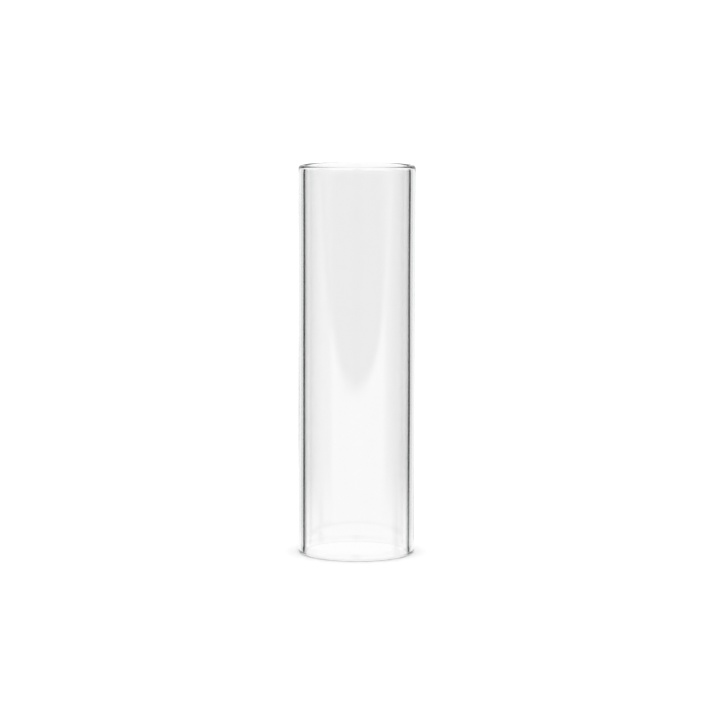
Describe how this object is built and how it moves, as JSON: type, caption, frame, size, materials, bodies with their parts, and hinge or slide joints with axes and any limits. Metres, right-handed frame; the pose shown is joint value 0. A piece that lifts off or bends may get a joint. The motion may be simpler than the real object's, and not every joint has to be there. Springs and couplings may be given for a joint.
{
  "type": "guitar slide",
  "caption": "Clear glass guitar slide: a plain thin-walled tube, open at both ends, with rounded rims, worn on a finger and slid along the strings.",
  "frame": {"origin": "on the tube's axis, at the plane that the bottom end stands on", "axes": "+Z along the tube's axis from the bottom end to the top end; the tube is round, so X and Y are any two square directions across it"},
  "size_m": [0.021, 0.021, 0.07],
  "materials": {
    "clear_glass": "clear drawn borosilicate glass, fire-polished at both ends, smooth inside and out"
  },
  "bodies": {
    "root": {"glass_tube": "clear_glass"}
  },
  "joints": []
}
